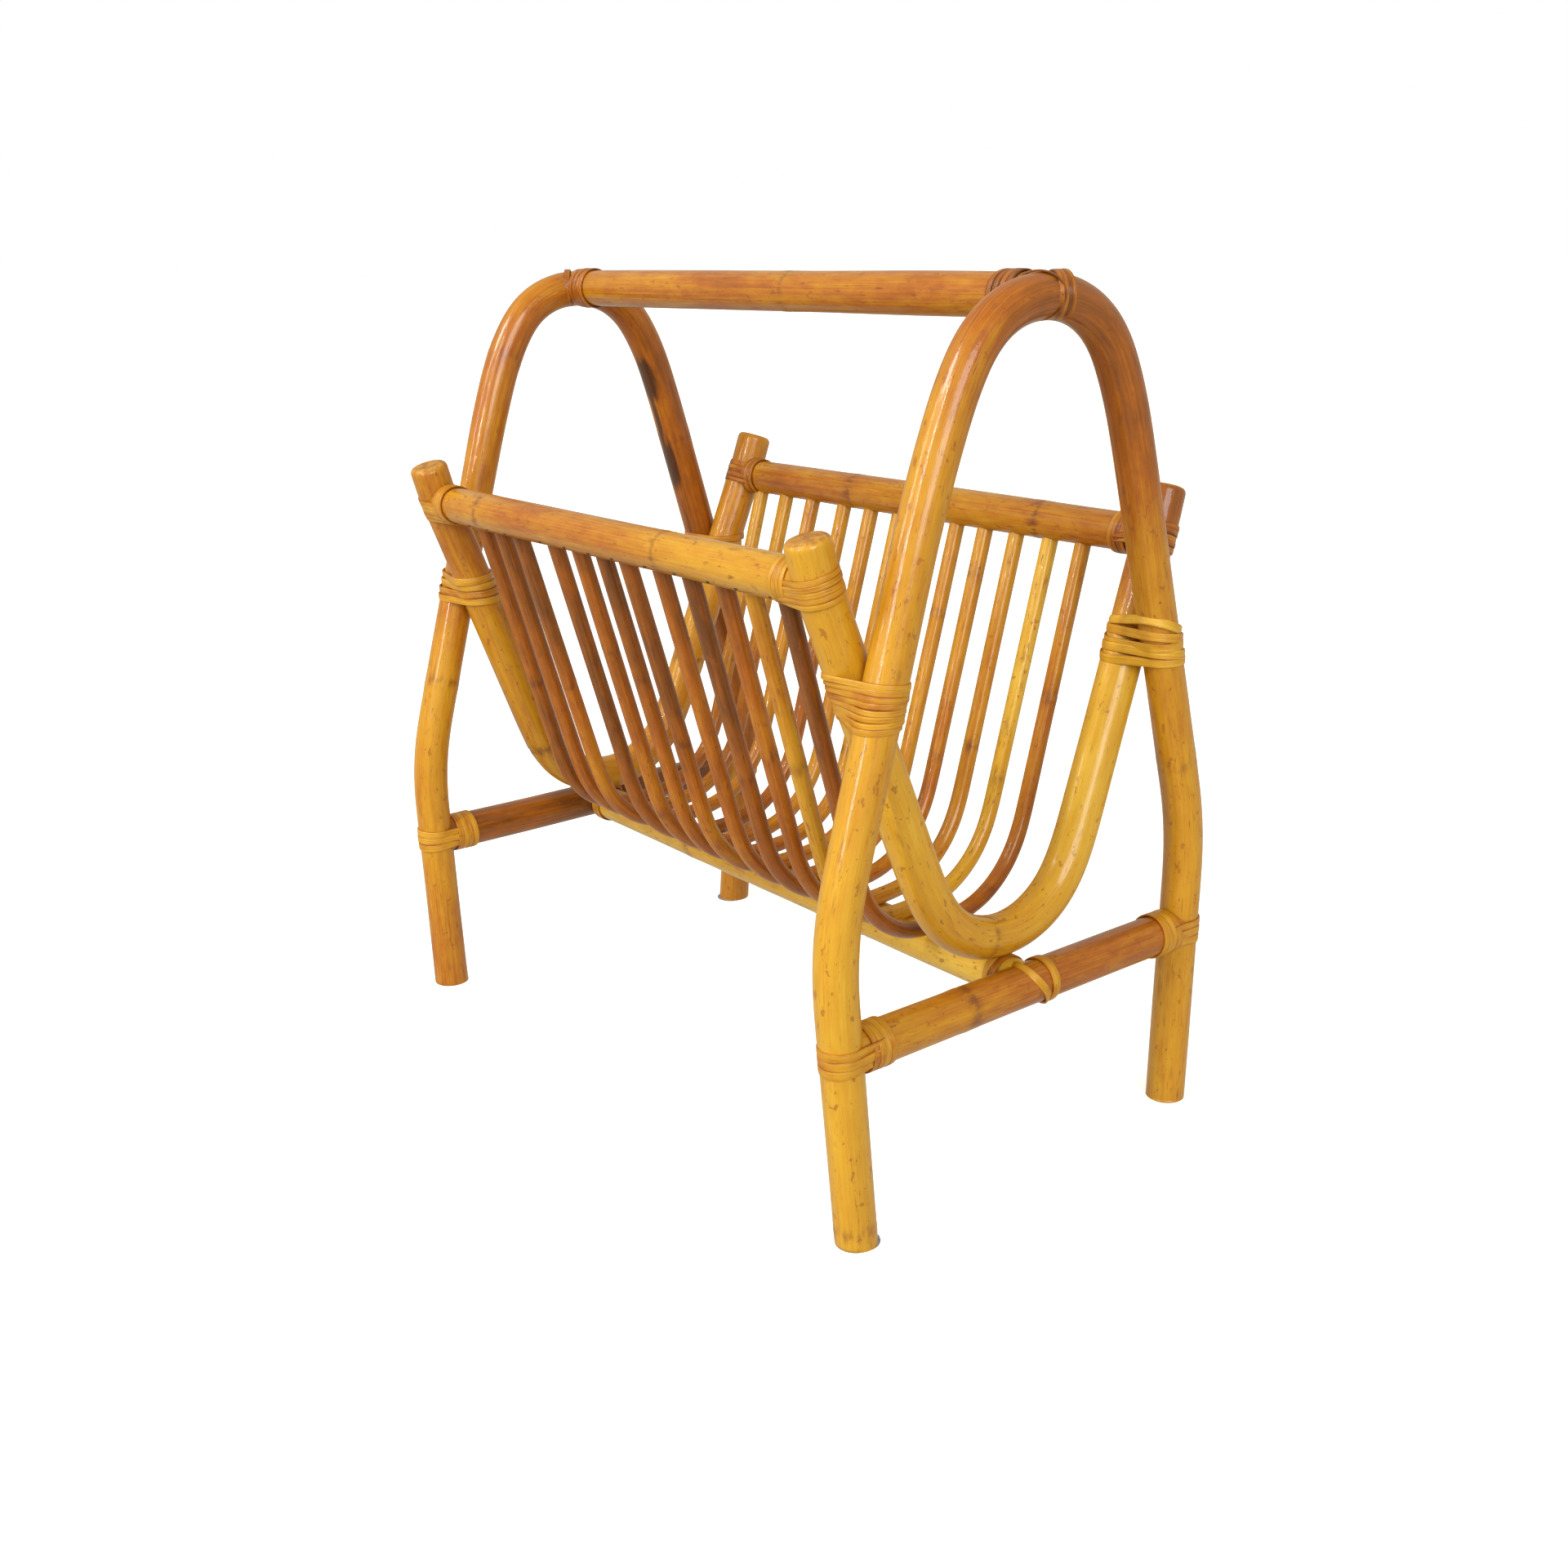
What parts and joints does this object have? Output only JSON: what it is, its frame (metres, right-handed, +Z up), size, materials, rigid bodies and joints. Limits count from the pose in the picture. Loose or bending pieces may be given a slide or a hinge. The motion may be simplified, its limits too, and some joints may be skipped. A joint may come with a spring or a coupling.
{
  "type": "magazine rack",
  "caption": "Cane magazine rack: two bent hoops joined by a handle carry a U-shaped slatted basket, the joints bound with cane strip.",
  "frame": {"origin": "on the floor under the middle of the rack", "axes": "+Z up; +X along the handle towards the near hoop; -Y towards the front rail, so the rack is narrowest along Y and tallest along Z"},
  "size_m": [0.483, 0.3097, 0.5089],
  "materials": {
    "hoop_cane": "gloss lacquer",
    "basket_cane": "gloss lacquer",
    "rail_cane": "gloss lacquer",
    "stretcher_cane": "gloss lacquer",
    "slat_cane": "gloss lacquer",
    "binding_strip": "satin lacquer",
    "nail_steel": "dull",
    "dowel_wood": "plain"
  },
  "bodies": {
    "root": {"end_hoop_near": "hoop_cane", "basket_frame_near": "basket_cane", "cross_stretcher_near": "stretcher_cane", "end_hoop_far": "hoop_cane", "basket_frame_far": "basket_cane", "cross_stretcher_far": "stretcher_cane", "centre_stretcher": "basket_cane", "handle_bar": "rail_cane", "front_rail": "rail_cane", "back_rail": "rail_cane", "slat_01": "slat_cane", "slat_02": "slat_cane", "slat_03": "slat_cane", "slat_04": "slat_cane", "slat_05": "slat_cane", "slat_06": "slat_cane", "slat_07": "slat_cane", "slat_08": "slat_cane", "slat_09": "slat_cane", "slat_10": "slat_cane", "slat_11": "slat_cane", "slat_12": "slat_cane", "lashing_handle_near": "binding_strip", "lashing_handle_far": "binding_strip", "lashing_centre_near": "binding_strip", "lashing_centre_far": "binding_strip", "lashing_rail_near_front": "binding_strip", "lashing_rail_near_back": "binding_strip", "lashing_rail_far_front": "binding_strip", "lashing_rail_far_back": "binding_strip", "lashing_leg_near_front": "binding_strip", "lashing_leg_near_back": "binding_strip", "lashing_leg_far_front": "binding_strip", "lashing_leg_far_back": "binding_strip", "lashing_crossing_near_front": "binding_strip", "lashing_crossing_near_back": "binding_strip", "lashing_crossing_far_front": "binding_strip", "lashing_crossing_far_back": "binding_strip", "rail_nails": "nail_steel", "crossing_nails": "nail_steel", "stretcher_nails": "nail_steel", "centre_nails": "nail_steel", "slat_nails": "nail_steel", "slat_brads": "nail_steel", "handle_dowels": "dowel_wood"}
  },
  "joints": []
}
